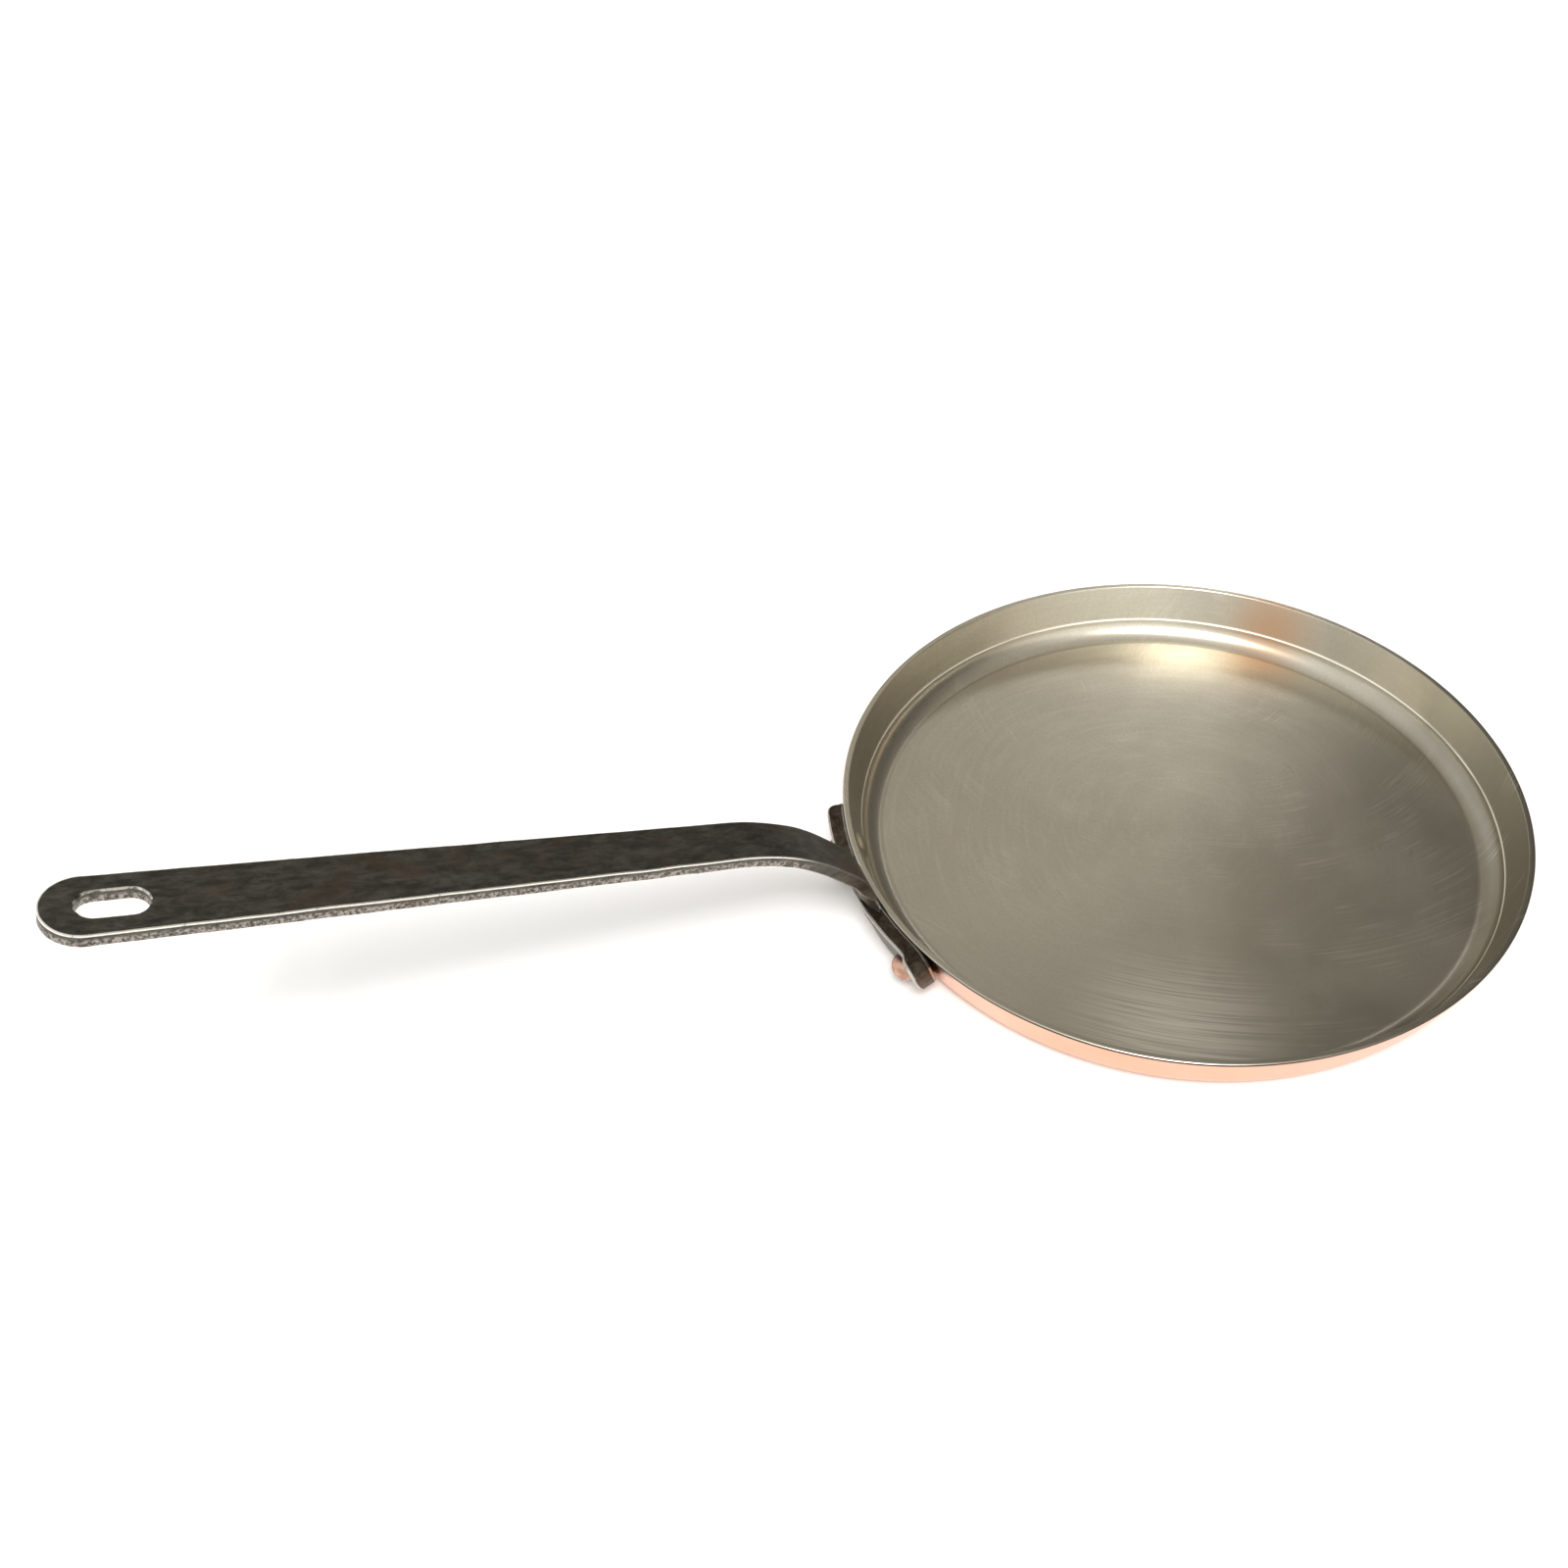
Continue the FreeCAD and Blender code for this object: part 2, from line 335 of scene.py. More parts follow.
def wiped_and_highlight_share(tree, place, fine, gathered):
    """Share of bright wiping strokes, in patches; thickest at one spot, where they are a painted highlight
    streak.
    """
    wiped = times(tree, remap(tree, fine, 0.45, 0.75), gathered)
    streak_highlight = times(tree, near(tree, place, STREAK_HIGHLIGHT_SPOT, 48.0), remap(tree, fine, 0.35, 0.6, 0.35, 1.0))
    return maths(tree, "MAXIMUM", times(tree, wiped, 0.28), times(tree, streak_highlight, 0.9))


def tin_material():
    """Hand-wiped tin with cloth strokes and a warm spot; painted shade on one side and at the floor edge;
    painted highlights on the crease and in a streak.
    """
    material, tree, shader = new_material("wiped_tin")
    place = place_mm(tree)
    height = part_of(tree, place, "Z")
    towards, radius = round_about(tree, place, (0, 0, 0))
    drift = times(tree, maths(tree, "SUBTRACT", noise_at(tree, place, 0.02, 1.0), 0.5), 9.0)
    out = maths(tree, "ADD", maths(tree, "ADD", radius, height), drift)
    fine = strokes(tree, *round_about(tree, place, WIPING_MIDDLE), 3.5, 1.3, 3.0)
    broad = strokes(tree, towards, out, 3.2, 0.5, 11.0, 1.0)
    grain = noise_at(tree, place, 1.1, 3.0, 0.75)
    cloud = noise_at(tree, place, 0.018, 3.0, 0.55, 0.6)
    gathered = remap(tree, noise_at(tree, place, 0.035, 2.0), 0.50, 0.64, 0.08, 1.0)
    highlight_level = remap(tree, broad, 0.3, 0.5, 0.5, 1.0)
    # Painted highlight: a near-white line along the crease, broken up by the broad strokes
    crease = times(tree, remap(tree, away_from(tree, height, cove(0, 1)[0][1]), 0.5, 0.2), highlight_level)
    # Painted shade: a darker line in the corner where the floor meets the cove
    floor_edge_shade = remap(tree, away_from(tree, radius, FLOOR_RADIUS - 0.4), 0.9, 0.2, 0.0, 0.35)
    color = mix(tree, remap(tree, cloud, 0.3, 0.72), (0.665, 0.628, 0.53), (0.60, 0.55, 0.455))
    color = mix(tree, remap(tree, broad, 0.45, 0.7, 0.0, 0.22), color, (0.80, 0.75, 0.63))
    color = mix(tree, remap(tree, grain, 0.35, 0.7, 0.0, 0.3), color, (0.42, 0.39, 0.31))
    # Painted shade over one side of the floor and wall
    color = mix(tree, painted_shade_share(tree, place, radius, cloud), color, (0.34, 0.32, 0.26))
    # Bright wiping strokes: partly real cloth marks, and at one spot a painted highlight streak
    color = mix(tree, wiped_and_highlight_share(tree, place, fine, gathered), color, (0.88, 0.84, 0.74))
    color = mix(tree, near(tree, place, WARM_SPOT, 25.0), color, (0.64, 0.43, 0.28))
    color = mix(tree, crease, color, (0.97, 0.94, 0.86))
    color = mix(tree, floor_edge_shade, color, (0.25, 0.23, 0.18))
    rough = maths(tree, "MULTIPLY_ADD", broad, -0.08, 0.31)
    rough = maths(tree, "MULTIPLY_ADD", cloud, 0.06, rough)
    rough = maths(tree, "MULTIPLY_ADD", crease, 0.3, rough)
    relief = bump(tree, noise_at(tree, place, 0.06, 1.0), 0.10)
    relief = bump(tree, times(tree, fine, gathered), 0.004, relief)
    relief = bump(tree, grain, 0.008, relief)
    finish_metal(tree, shader, color, rough, relief)
    shader.inputs["Anisotropic"].default_value = 0.15
    shader.inputs["Anisotropic Rotation"].default_value = 0.25
    tangent = add(tree, "Tangent", direction_type="RADIAL", axis="Z")
    tree.links.new(tangent.outputs[0], shader.inputs["Tangent"])
    return material


def copper_material():
    """Polished copper: turned lines, faint planishing and dark spots; dark at the rim, with painted shade
    in the gap by the bracket.
    """
    material, tree, shader = new_material("polished_copper")
    place = place_mm(tree)
    height = part_of(tree, place, "Z")
    towards, radius = round_about(tree, place, (0, 0, 0))
    lines = strokes(tree, towards, maths(tree, "ADD", radius, height), 3.0, 3.0, 5.0)
    cloud = noise_at(tree, place, 0.03, 3.0, 0.6, 0.5)
    spots = remap(tree, noise_at(tree, place, 0.5, 1.0), 0.74, 0.80)
    base = remap(tree, height, 0.0, 1.5, 1.0, 0.0)
    lip = remap(tree, height, PAN_HEIGHT - 1.4, PAN_HEIGHT - 0.9)
    # Painted shade in the gap between the bracket and the pan's wall
    by_bracket = remap(tree, part_of(tree, place, "X"), -109.0, -112.5)
    behind = times(tree, by_bracket, remap(tree, height, 16.0, 18.0))
    scorched = times(tree, base, remap(tree, cloud, 0.35, 0.65, 0.2, 0.8))
    color = mix(tree, remap(tree, cloud, 0.3, 0.7), (0.80, 0.43, 0.29), (0.76, 0.385, 0.245))
    color = mix(tree, scorched, color, (0.58, 0.25, 0.14))
    color = mix(tree, times(tree, spots, 0.7), color, (0.22, 0.11, 0.06))
    # Dark band at the rim top, and the painted shade by the bracket
    color = mix(tree, maths(tree, "MAXIMUM", lip, behind), color, (0.05, 0.035, 0.028))
    rough = maths(tree, "MULTIPLY_ADD", lines, 0.12, 0.16)
    rough = maths(tree, "MULTIPLY_ADD", base, 0.08, rough)
    relief = bump(tree, noise_at(tree, place, 0.11, 1.0), 0.05)
    relief = bump(tree, lines, 0.004, relief)
    finish_metal(tree, shader, color, rough, relief)
    return material


def rivet_material():
    """Hammered copper, dark where the head meets the bracket; low is 1 there and 0 on top."""
    material, tree, shader = new_material("hammered_copper")
    place = place_mm(tree)
    cloud = noise_at(tree, place, 0.35, 3.0, 0.6)
    color = mix(tree, remap(tree, cloud, 0.35, 0.7), (0.62, 0.39, 0.29), (0.38, 0.22, 0.16))
    color = mix(tree, remap(tree, stored(tree, "low"), 0.6, 0.95), color, (0.10, 0.06, 0.045))
    rough = maths(tree, "MULTIPLY_ADD", cloud, 0.2, 0.38)
    finish_metal(tree, shader, color, rough, bump(tree, noise_at(tree, place, 1.4, 2.0), 0.06))
    return material


def iron_material(name, dark, light, stain, drawn, speckled):
    """Forged iron with scale, and a painted highlight along its bevels.

    drawn stretches the mottling along the axes. speckled, 0 or 1, puts pale specks low on the edge, away
    from the pan, and dims the painted bevel highlight near the pan further. plate says what the bevel mask,
    side and deep are.
    """
    material, tree, shader = new_material(name)
    place = place_mm(tree)
    along = stretched(tree, place, drawn)
    mottle = noise_at(tree, along, 0.34, 6.0, 0.75, 0.4)
    blotch = noise_at(tree, place, 0.045, 3.0, 0.6, 0.8)
    pits = noise_at(tree, place, 1.1, 3.0, 0.6)
    drags = noise_at(tree, stretched(tree, along, (0.5, 2.5, 2.5)), 0.5, 2.0)
    far = remap(tree, part_of(tree, place, "X"), -140.0, -152.0)
    specks = remap(tree, noise_at(tree, place, 0.9, 2.0, 0.7), 0.40, 0.62)
    low = remap(tree, stored(tree, "deep"), 0.28, 0.5, 0.1, 1.0)
    specks = times(tree, times(tree, specks, low), times(tree, stored(tree, "side"), far))
    # Painted highlight along the bevels: patchy, and dimmer near the pan
    highlight_level = maths(tree, "MULTIPLY_ADD", noise_at(tree, place, 0.5, 2.0), 0.35, stored(tree, "wear"))
    near_pan = 0.5 - 0.35 * speckled
    kept_bright = maths(tree, "MULTIPLY_ADD", far, 1 - near_pan, near_pan)
    bevel_highlight = times(tree, remap(tree, highlight_level, 1.04, 1.14), kept_bright)
    color = mix(tree, remap(tree, mottle, 0.34, 0.68), dark, light)
    color = mix(tree, remap(tree, blotch, 0.52, 0.70, 0.0, 0.5), color, stain)
    color = mix(tree, times(tree, specks, speckled), color, (0.38, 0.34, 0.31))
    color = mix(tree, bevel_highlight, color, (0.88, 0.85, 0.79))
    rough = maths(tree, "MULTIPLY_ADD", mottle, 0.22, 0.34)
    rough = maths(tree, "MULTIPLY_ADD", bevel_highlight, -0.16, rough)
    relief = bump(tree, mottle, 0.10)
    relief = bump(tree, drags, 0.05, relief)
    relief = bump(tree, pits, 0.05, relief)
    finish_metal(tree, shader, color, rough, relief)
    return material


def strap_iron():
    return iron_material(
        "strap_iron", dark=(0.054, 0.052, 0.044), light=(0.135, 0.128, 0.108), stain=(0.11, 0.076, 0.05),
        drawn=(0.3, 1, 1), speckled=1.0)


def bracket_iron():
    return iron_material(
        "bracket_iron", dark=(0.035, 0.027, 0.019), light=(0.125, 0.102, 0.074), stain=(0.07, 0.048, 0.033),
        drawn=(0.5, 0.5, 0.5), speckled=0.0)


# ---------------------------------------------------------------- mesh helpers

def make_piece(name, points, faces, material, node, marks=None, sharp=35.0):
    """A mesh piece that stands for a CAD node; marks are numbers kept for each vertex."""
    mesh = bpy.data.meshes.new(name)
    mesh.from_pydata([tuple(p * MM) for p in points], [], faces)
    for label, values in (marks or {}).items():
        mesh.attributes.new(label, "FLOAT", "POINT").data.foreach_set("value", values)
    shape = bmesh.new()
    shape.from_mesh(mesh)
    bmesh.ops.recalc_face_normals(shape, faces=shape.faces)
    shape.to_mesh(mesh)
    shape.free()
    mesh.polygons.foreach_set("use_smooth", [True] * len(mesh.polygons))
    mesh.set_sharp_from_angle(angle=math.radians(sharp))
    mesh.materials.append(material)
    piece = bpy.data.objects.new(name, mesh)
    bpy.context.scene.collection.objects.link(piece)
    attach(piece, "root")
    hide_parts(node)
    return piece


def wobble(point, size, strength, seed=0.0):
    """Smooth noise at a point in millimetres; size is the width of its swells."""
    return strength * noise.noise(Vector(point) / size + Vector((seed, 2 * seed, 3 * seed)))


def arc_points(centre, radius, start, end, count):
    """Points of an arc, angles in radians, both ends included."""
    angles = [start + (end - start) * i / count for i in range(count + 1)]
    return [(centre[0] + radius * math.cos(a), centre[1] + radius * math.sin(a)) for a in angles]


def even(start, end, count):
    """Points between two ends, both left out."""
    return [(start[0] + (end[0] - start[0]) * i / count, start[1] + (end[1] - start[1]) * i / count)
            for i in range(1, count)]


def turned(section, angles):
    """A closed solid turned from a section whose first and last points lie on the axis."""
    inner, turns = section[1:-1], len(angles)
    points = [Vector((0, 0, section[0][1])), Vector((0, 0, section[-1][1]))]
    for radius, height in inner:
        points += [polar_point(radius, angle, height) for angle in angles]
    faces = []
    for j in range(turns):
        k = (j + 1) % turns
        faces.append((0, 2 + j, 2 + k))
        for i in range(len(inner) - 1):
            a, b = 2 + i * turns, 2 + (i + 1) * turns
            faces.append((a + j, b + j, b + k, a + k))
        last = 2 + (len(inner) - 1) * turns
        faces.append((1, last + k, last + j))
    return points, faces


def round_angles(count):
    return [2 * math.pi * i / count for i in range(count)]


def inset(loop, distance):
    """A closed loop moved to its left; an outline runs anticlockwise and a hole clockwise."""
    moved = []
    for i, here in enumerate(loop):
        into = (here - loop[i - 1]).normalized()
        onwards = (loop[(i + 1) % len(loop)] - here).normalized()
        left, next_left = Vector((-into.y, into.x)), Vector((-onwards.y, onwards.x))
        moved.append(here + (left + next_left) * (distance / (1 + left.dot(next_left))))
    return moved


def is_inside(point, loop):
    inside = False
    for i, b in enumerate(loop):
        a = loop[i - 1]
        crosses = (a.y > point.y) != (b.y > point.y)
        if crosses and point.x < (b.x - a.x) * (point.y - a.y) / (b.y - a.y) + a.x:
            inside = not inside
    return inside


def is_between(point, loops):
    """Whether a point is inside the first loop and outside the others, which are holes."""
    return is_inside(point, loops[0]) and not any(is_inside(point, hole) for hole in loops[1:])


def filled(loops, spacing):
    """Triangles between an outline and its holes, with staggered points inside; and those points."""
    points = [p for loop in loops for p in loop]
    edges, start = [], 0
    for loop in loops:
        edges += [(start + i, start + (i + 1) % len(loop)) for i in range(len(loop))]
        start += len(loop)
    low = Vector((min(p.x for p in points), min(p.y for p in points)))
    high = Vector((max(p.x for p in points), max(p.y for p in points)))
    extra = []
    for row in range(int((high.y - low.y) / spacing) + 1):
        for column in range(int((high.x - low.x) / spacing) + 2):
            point = low + Vector((column + (row % 2) / 2, row + 0.5)) * spacing
            clear = all((point - p).length > spacing * 0.6 for p in points)
            if clear and is_between(point, loops):
                extra.append(point)
    placed, _, faces, origins, _, _ = delaunay_2d_cdt(points + extra, edges, [], 0, 1e-5)
    triangles = []
    for face in faces:
        middle = sum((placed[i] for i in face), Vector((0, 0))) / len(face)
        if is_between(middle, loops):
            triangles.append([origins[i][0] for i in face])
    return triangles, extra


def clamped(value):
    return min(1.0, max(0.0, value))


def plate_steps(thickness, bevel):
    """How far in and how deep each ring round a plate's edge lies, from the shown face to the back."""
    margin = 1.9 * bevel
    steps = [(margin, 0), (bevel, 0), (0.3 * bevel, 0.3 * bevel), (0, bevel), (0, margin)]
    return steps + [(0, thickness / 2)] + [(inward, thickness - depth) for inward, depth in reversed(steps)]


def plate(outline, holes, slide, thickness, bevels, spacing, place):
    """A solid plate with bevelled edges, bevels being those of its outline and of its holes.

    outline and holes are loops on the shown face, where depth is 0. The holes move by slide for each
    millimetre of depth. place turns along, across and depth into a point. The points are marked with a
    bevel mask, above 0 on the bevels only, where a painted highlight goes; with side, 1 on the edge and 0
    elsewhere;
    and with deep, the share of depth.
    """
    points, faces, ends = [], [], []
    wear, side, deep = [], [], []
    for number, loop in enumerate([outline] + holes):
        bevel = bevels[min(number, 1)]
        steps = plate_steps(thickness, bevel)
        first = len(points)
        for step, (inward, depth) in enumerate(steps):
            shift = slide * depth if number else Vector((0, 0))
            ring = [p + shift for p in inset(loop, inward)]
            if step in (0, len(steps) - 1):
                ends.append((number, step, ring, first + step * len(loop)))
            points += [place(p.x, p.y, depth) for p in ring]
            from_face = min(depth, thickness - depth)
            # Level of the bevel mask, which the iron turns into a painted highlight
            highlight_level = HOLE_HIGHLIGHT_LEVEL if number else 1.0
            wear += [highlight_level if inward <= bevel and from_face <= bevel else 0.0] * len(loop)
            side += [0.0 if inward else 1.0] * len(loop)
            deep += [depth / thickness] * len(loop)
        for step in range(len(steps) - 1):
            for i in range(len(loop)):
                k = (i + 1) % len(loop)
                a, b = first + step * len(loop), first + (step + 1) * len(loop)
                faces.append((a + i, a + k, b + k, b + i))
    for level, depth in ((0, 0.0), (len(steps) - 1, thickness)):
        rings = [(ring, start) for _, step, ring, start in ends if step == level]
        index = [start + i for ring, start in rings for i in range(len(ring))]
        triangles, extra = filled([ring for ring, _ in rings], spacing)
        index += range(len(points), len(points) + len(extra))
        points += [place(p.x, p.y, depth) for p in extra]
        wear += [0.0] * len(extra)
        side += [0.0] * len(extra)
        deep += [depth / thickness] * len(extra)
        faces += [tuple(index[i] for i in triangle) for triangle in triangles]
    return points, faces, {"wear": wear, "side": side, "deep": deep}


# ---------------------------------------------------------------- pan

def wall_radius(height, behind_tin):
    outside = RIM_RADIUS - (PAN_HEIGHT - height) * math.tan(LEAN)
    return outside - (SKIN - behind_tin) / math.cos(LEAN)


def cove(behind_tin, count):
    """The rounded inside corner, from the crease down to the floor, so far behind the tin's face."""
    radius = INNER_CORNER + behind_tin
    centre = (FLOOR_RADIUS, SKIN - behind_tin + radius)
    gap = (wall_radius(centre[1], behind_tin) - centre[0]) * math.cos(LEAN)
    return arc_points(centre, radius, math.acos(gap / radius) - LEAN, -math.pi / 2, count)


def creased_cove(count):
    """The tin's face between the floor and the wall: its ends meet both at a slight angle."""
    start, end = (FLOOR_RADIUS + 0.3, SKIN), cove(0, 1)[0]
    rise, steep = math.tan(math.radians(12)), math.tan(math.radians(80))
    across = (end[1] - start[1] - steep * (end[0] - start[0])) / (rise - steep)
    middle = (start[0] + across, start[1] + rise * across)
    points = []
    for i in range(count + 1):
        t = i / count
        points.append(tuple((1 - t) ** 2 * a + 2 * t * (1 - t) * b + t * t * c
                            for a, b, c in zip(start, middle, end)))
    return points


def crease_bead(crease):
    """A low rounded ridge along the crease, from the cove up to the wall."""
    up = Vector((math.sin(LEAN), math.cos(LEAN)))
    out = Vector((-math.cos(LEAN), math.sin(LEAN)))
    points = []
    for i in range(1, 8):
        share = i / 4 - 1
        raised = out * CREASE_RISE * (1 - share ** 2)
        points.append(tuple(Vector(crease) + up * CREASE_HALF * share + raised))
    return points


def floor_rings(height, edge, count):
    return [(edge * (i / count) ** 0.9, height) for i in range(1, count)]


def copper_section():
    """Under the tin, up the wall, over the rounded rim, down outside and under the base."""
    inside = cove(TIN, 14)[::-1]
    rim_in = (wall_radius(PAN_HEIGHT, TIN), PAN_HEIGHT)
    foot = wall_radius(0, SKIN)
    reach = OUTER_CORNER * math.tan((math.pi / 2 - LEAN) / 2)
    corner = arc_points((foot - reach, OUTER_CORNER), OUTER_CORNER, -LEAN, -math.pi / 2, 14)
    middle = (RIM_RADIUS - RIM_ROUNDING * 1.1, PAN_HEIGHT - RIM_ROUNDING)
    top = arc_points(middle, RIM_ROUNDING, math.pi / 2, -LEAN, 6)
    section = [(0, COPPER)] + floor_rings(COPPER, FLOOR_RADIUS, 6) + inside
    section += even(inside[-1], rim_in, 8) + [rim_in] + top
    section += even(top[-1], corner[0], 12) + corner
    return section + floor_rings(0, foot - reach, 10)[::-1] + [(0, 0)]


def tin_section():
    """The tin's face from the middle of the floor up over the rim, then back down behind it."""
    face = creased_cove(20)
    crease = face.pop()
    face += crease_bead(crease)
    back = cove(TIN, 10)
    lip = 0.3
    rim_face = (wall_radius(PAN_HEIGHT - lip, 0), PAN_HEIGHT - lip)
    seat = (wall_radius(PAN_HEIGHT - 0.02, TIN), PAN_HEIGHT - 0.02)
    middle = (RIM_RADIUS - RIM_ROUNDING * 1.1, PAN_HEIGHT - RIM_ROUNDING)
    over = [(rim_face[0] + 0.08, PAN_HEIGHT - 0.1), (rim_face[0] + 0.22, PAN_HEIGHT + 0.02)]
    over += arc_points(middle, RIM_ROUNDING + 0.07, math.pi / 2, math.radians(35), 4)
    under = arc_points(middle, RIM_ROUNDING - 0.02, math.radians(35), math.pi / 2, 4)
    section = [(0, SKIN)] + floor_rings(SKIN, face[0][0], 60) + face
    section += even(face[-1], rim_face, 22) + [rim_face] + over + under + [seat]
    section += even(seat, back[0], 6) + back + floor_rings(COPPER, FLOOR_RADIUS, 6)[::-1]
    return section + [(0, COPPER)]


def fine_near_rivets():
    """Angles round the pan, closer together where the rivets' heads stand out of the wall."""
    angles, angle = [], 0.0
    while angle < 2 * math.pi - 1e-6:
        angles.append(angle)
        away = abs(abs(angle - math.pi) - RIVET_ANGLE)
        angle += math.radians(0.25 if away < math.radians(4.2) else 1.0)
    return angles


def rivet_place(side):
    """A rivet's frame: its origin on the copper's inner face, and Z away from the pan."""
    outwards = polar_point(1, math.pi - side * RIVET_ANGLE, 0)
    axis = outwards * math.cos(LEAN) - UP * math.sin(LEAN)
    origin = outwards * wall_radius(RIVET_LEVEL, SKIN) + UP * RIVET_LEVEL - axis * COPPER
    return Matrix.Translation(origin) @ UP.rotation_difference(axis).to_matrix().to_4x4()


def cap_height(distance, radius, height):
    """Height of a round cap so far from its middle."""
    ball = (radius ** 2 + height ** 2) / (2 * height)
    return math.sqrt(max(ball ** 2 - distance ** 2, 0)) - (ball - height)


def over_rivets(points):
    """Raises the tin's face over the rivets' inner heads."""
    reach, rise_to = RIVET_INNER + 0.4, RIVET_INNER_HEIGHT + 0.2
    for place in (rivet_place(1), rivet_place(-1)):
        inverse = place.inverted()
        for i, point in enumerate(points):
            if point.x > -100:
                continue
            local = inverse @ point
            distance = math.hypot(local.x, local.y)
            if distance < RIVET_INNER + 2 and -TIN - 0.1 < local.z + TIN < 0.1:
                rise = cap_height(min(distance, reach), reach, rise_to)
                points[i] = place @ (local - UP * rise)
    return points


def make_copper(material):
    points, faces = turned(copper_section(), round_angles(360))
    return make_piece("copper_pan", points, faces, material, "copper_body")


def make_tin(material):
    points, faces = turned(tin_section(), fine_near_rivets())
    return make_piece("tin_inside", over_rivets(points), faces, material, "tin_lining")


def make_rivet(name, side, node, material):
    """side is 1 for the rivet on the +Y side and -1 for the other; low is marked for its material."""
    length = COPPER + BRACKET_THICKNESS
    section = [(0, length + RIVET_HEAD_HEIGHT)]
    for i in range(1, 17):
        distance = RIVET_HEAD * math.sin(math.pi / 2 * i / 16)
        section.append((distance, length + cap_height(distance, RIVET_HEAD, RIVET_HEAD_HEIGHT)))
    seat = length - RIVET_SEAT
    section += [(RIVET_HEAD, seat), (RIVET_SHANK, seat), (RIVET_SHANK, 0), (RIVET_INNER, 0)]
    for i in range(7, 0, -1):
        distance = RIVET_INNER * i / 8
        section.append((distance, -cap_height(distance, RIVET_INNER, RIVET_INNER_HEIGHT)))
    section.append((0, -RIVET_INNER_HEIGHT))
    points, faces = turned(section, round_angles(56))
    place = rivet_place(side)
    shaped, low = [], []
    for point in points:
        risen = (point.z - length) / RIVET_HEAD_HEIGHT
        low.append(clamped(1 - risen))
        if risen > 0:
            point = point - UP * (0.15 + wobble(point, 2.6, 0.22, 5 + side)) * risen
        shaped.append(place @ point)
    return make_piece(name, shaped, faces, material, node, {"low": low})


# ---------------------------------------------------------------- handle

STRAP_BENDS = (
    (ROOT_BEND, ROOT_HEADING, NECK_HEADING, NECK_RUN),
    (SHOULDER_BEND, NECK_HEADING, GRIP_HEADING, GRIP_RUN),
)
STRAP_LENGTH = sum(bend * (before - after) + run for bend, before, after, run in STRAP_BENDS)


def strap_line(left):
    """Place and heading of the strap's upper face, so far along it from its root, in the side view."""
    x, z = RIM_RADIUS + ROOT_GAP, PAN_HEIGHT - BRACKET_DROP
    heading = ROOT_HEADING
    for bend, before, after, run in STRAP_BENDS:
        turn = min(left / bend, before - after)
        heading = before - turn
        x += bend * (math.sin(before) - math.sin(heading))
        z += bend * (math.cos(heading) - math.cos(before))
        left -= turn * bend
        step = min(left, run)
        x += step * math.cos(heading)
        z += step * math.sin(heading)
        left -= step
        if left <= 0:
            break
    return x, z, heading


TIP = strap_line(STRAP_LENGTH)


def along_grip(from_tip):
    """Distance from the tip as seen square to the grip, where the outline was cut."""
    x, z, _ = strap_line(STRAP_LENGTH - from_tip)
    return (TIP[0] - x) * math.cos(GRIP_HEADING) + (TIP[1] - z) * math.sin(GRIP_HEADING)


def half_width(from_tip):
    tail, neck, wide = TAIL_WIDTH / 2, NECK_WIDTH / 2, ROOT_WIDTH / 2
    spread = along_grip(STRAP_LENGTH) - ROOT_SPREAD
    here = along_grip(from_tip)
    if here < spread:
        return tail + (neck - tail) * max(here - tail, 0) / (spread - tail)
    share = min((here - spread) / (along_grip(STRAP_LENGTH - ROOT_EDGE) - spread), 1)
    return neck + (wide - neck) * (1 - math.sqrt(1 - share ** 2))


def strap_outline():
    """Anticlockwise from the tail's left side, in distance from the tip and across."""
    tail = TAIL_WIDTH / 2
    stations = [tail + (STRAP_LENGTH - 24 - tail) * i / 90 for i in range(1, 91)]
    stations += [STRAP_LENGTH - 24 + (24 - ROOT_EDGE) * i / 13 for i in range(1, 14)] + [STRAP_LENGTH]
    loop = [Vector(p) for p in arc_points((tail, 0), tail, math.pi / 2, 1.5 * math.pi, 40)]
    loop += [Vector((s, -half_width(s))) for s in stations]
    loop += [Vector((STRAP_LENGTH, half_width(STRAP_LENGTH) * y)) for y in (-0.6, -0.2, 0.2, 0.6)]
    return loop + [Vector((s, half_width(s))) for s in reversed(stations)]


def slot_outline():
    """Clockwise, as a hole."""
    radius, reach = SLOT_WIDTH / 2, (SLOT_LENGTH - SLOT_WIDTH) / 2
    loop = arc_points((SLOT_FROM_TIP - reach, 0), radius, 1.5 * math.pi, math.pi / 2, 20)
    loop += [(SLOT_FROM_TIP, radius)]
    loop += arc_points((SLOT_FROM_TIP + reach, 0), radius, math.pi / 2, -math.pi / 2, 20)
    return [Vector(p) for p in loop + [(SLOT_FROM_TIP, -radius)]]


def strap_point(from_tip, across, depth):
    """Bends the flat strap, uneven as hand work is, and thins the two sides of its root."""
    left = STRAP_LENGTH - from_tip
    x, z, heading = strap_line(left)
    ease = min(1.0, left / 12)
    flare = clamped((abs(across) - 6) / 4) * clamped(1.8 * (1 - left / FLARE_HEIGHT))
    depth *= 1 - FLARE_THINNED * flare
    across += ease * wobble((from_tip, 40 if across > 0 else -40, 0), 14, 0.22, 1)
    depth += ease * wobble((from_tip, across, 60 if depth > 1 else 0), 11, 0.14, 2)
    return Vector((-x - depth * math.sin(heading), across, z - depth * math.cos(heading)))


def make_strap(material):
    still = Vector((0, 0))
    points, faces, marks = plate(
        strap_outline(), [slot_outline()], still, STRAP_THICKNESS, (BEVEL, BEVEL), 2.6, strap_point)
    return make_piece("strap_handle", points, faces, material, "handle_strap", marks, 25)


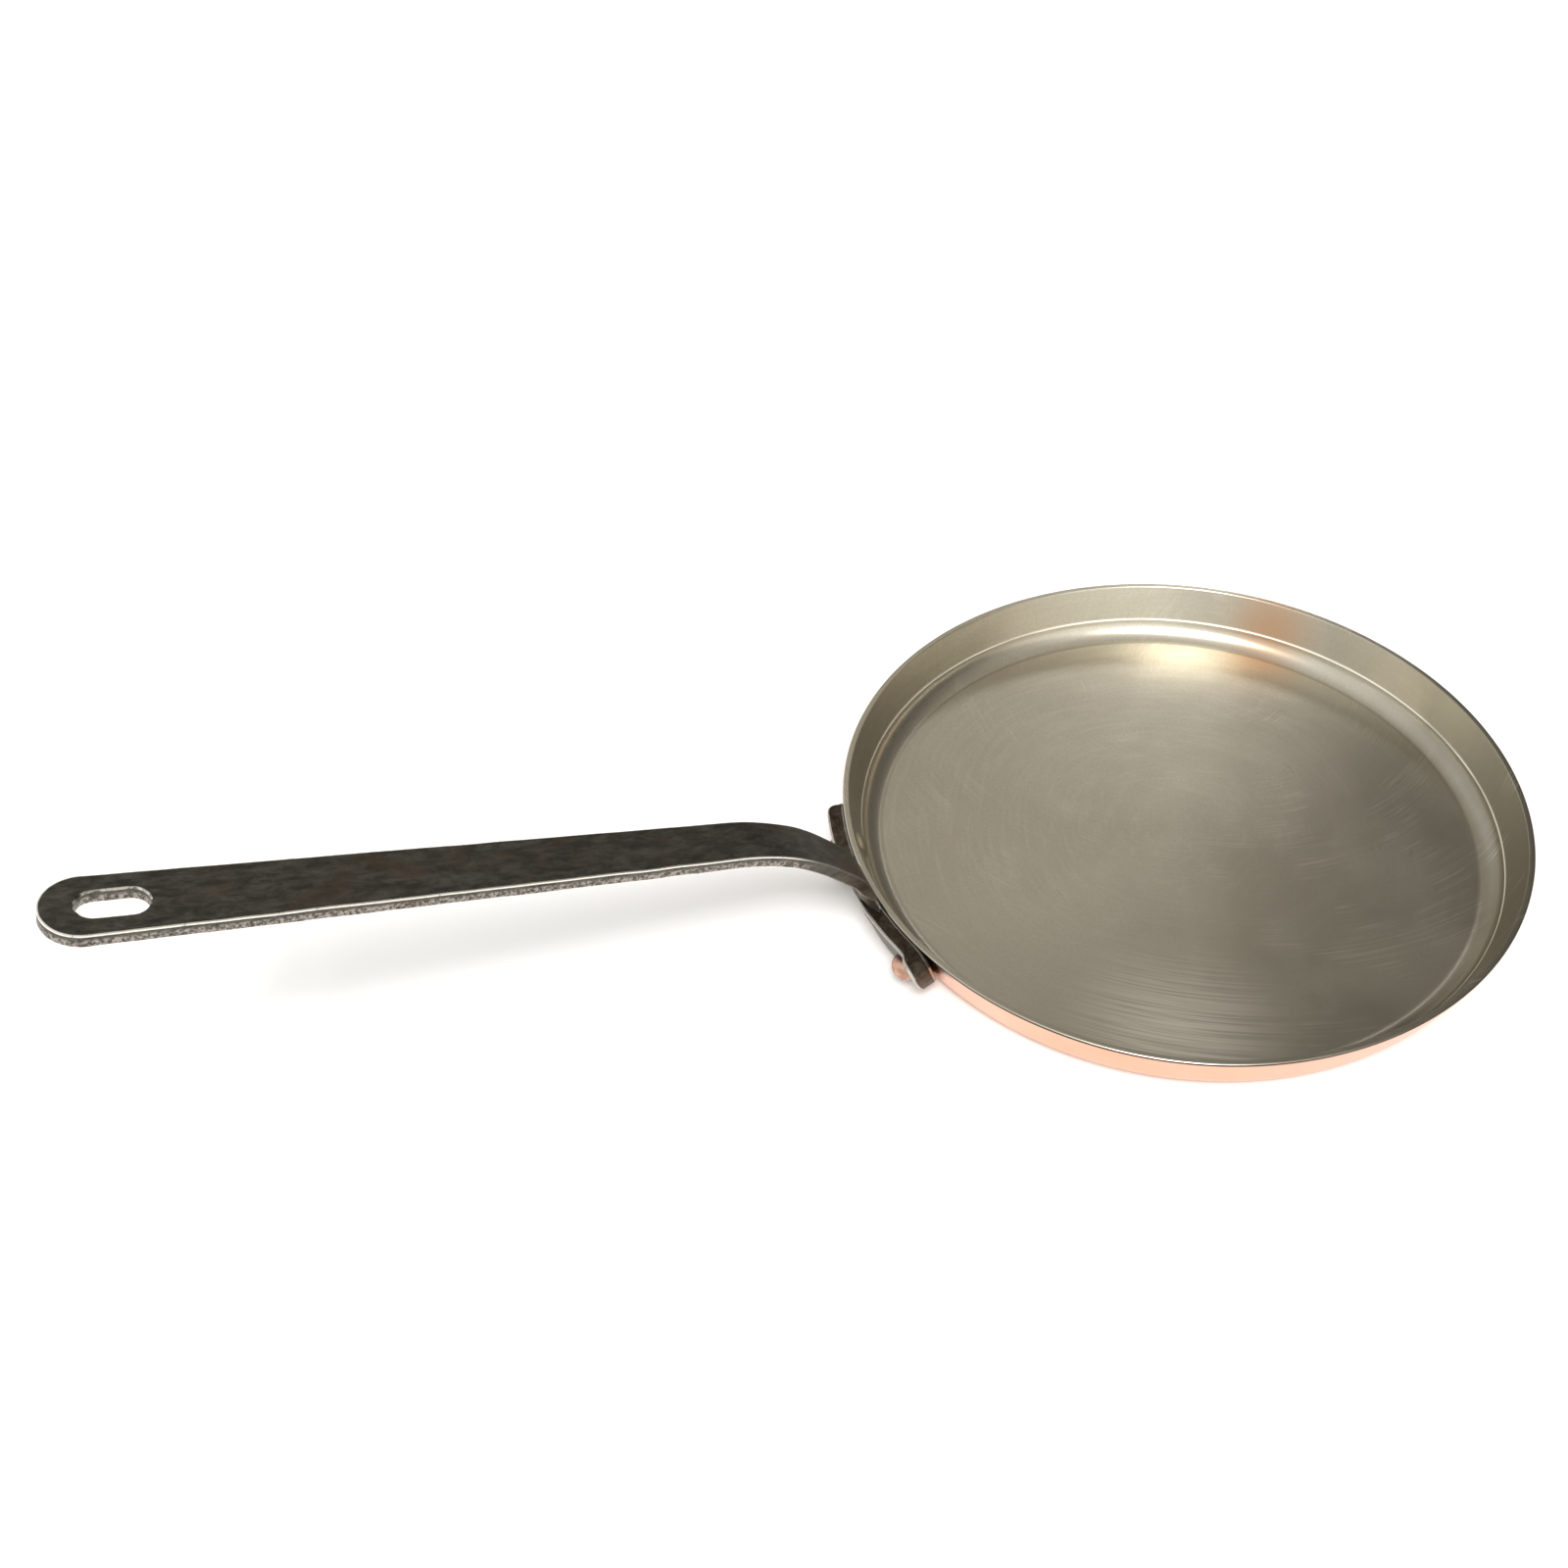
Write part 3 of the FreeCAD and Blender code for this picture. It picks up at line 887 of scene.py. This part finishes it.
def bracket_outline():
    """Anticlockwise seen from outside: across is to the right, up is up; the right end is faceted."""
    left, right = -BRACKET_LEFT_SPAN * RIM_RADIUS, BRACKET_RIGHT_SPAN * RIM_RADIUS
    top, corner = BRACKET_HEIGHT, BRACKET_CORNER
    loop = arc_points((left + corner, corner), corner, -math.pi, -math.pi / 2, 9)
    loop += even((left + corner, 0), (right - corner, 0), 30)
    loop += arc_points((right - corner, corner), corner, -math.pi / 2, 0, 3)
    loop += arc_points((right - corner, top - corner), corner, 0, math.pi / 2, 3)
    loop += even((right - corner, top), (left + corner, top), 30)
    loop += arc_points((left + corner, top - corner), corner, math.pi / 2, math.pi, 9)
    return [Vector(p) for p in loop]


def rivet_hole(side):
    """Clockwise, where the rivet comes out of the shown face."""
    bottom = PAN_HEIGHT - BRACKET_DROP - BRACKET_HEIGHT
    height = RIVET_LEVEL - bottom - BRACKET_THICKNESS * math.sin(LEAN)
    middle = (-side * RIVET_ANGLE * RIM_RADIUS, height)
    return [Vector(p) for p in arc_points(middle, RIVET_SHANK, 0, -2 * math.pi, 24)[:-1]]


def bracket_point(across, up, depth):
    """Wraps the flat bracket round the wall; its shown face is the outer one.

    The left end is rounded. The right end is hammered: it bulges, and stands off the wall.
    """
    height = PAN_HEIGHT - BRACKET_DROP - BRACKET_HEIGHT + up
    past_rivet = max(0.0, across - RIVET_ANGLE * RIM_RADIUS - 1) / HAMMERED_LENGTH
    standing_off = HAMMERED_GAP * past_rivet ** 2
    near_left = clamped(1 - (across + BRACKET_LEFT_SPAN * RIM_RADIUS - 3) / 4.5)
    full = 1 - 0.7 * (1 - math.sqrt(1 - near_left ** 2))
    full += HAMMERED_BULGE / BRACKET_THICKNESS * min(1.0, past_rivet * 2.2) ** 2 * min(1.0, up / 8)
    out = ((BRACKET_THICKNESS - depth) * full + standing_off) / math.cos(LEAN)
    if depth < BRACKET_THICKNESS / 2:
        out += wobble((across, up, 0), 9, 0.2, 3) - 0.1
    return polar_point(wall_radius(height, SKIN) + out, math.pi + across / RIM_RADIUS, height)


def make_bracket(material):
    slide = Vector((0, math.sin(LEAN)))
    holes = [rivet_hole(1), rivet_hole(-1)]
    points, faces, marks = plate(
        bracket_outline(), holes, slide, BRACKET_THICKNESS, BRACKET_BEVELS, 1.8, bracket_point)
    return make_piece("bracket", points, faces, material, "handle_bracket", marks, 25)


# ---------------------------------------------------------------- scene

make_camera()
make_studio()
make_copper(copper_material())
make_tin(tin_material())
riveted = rivet_material()
make_rivet("rivet_left", 1, "left_rivet", riveted)
make_rivet("rivet_right", -1, "right_rivet", riveted)
make_strap(strap_iron())
make_bracket(bracket_iron())
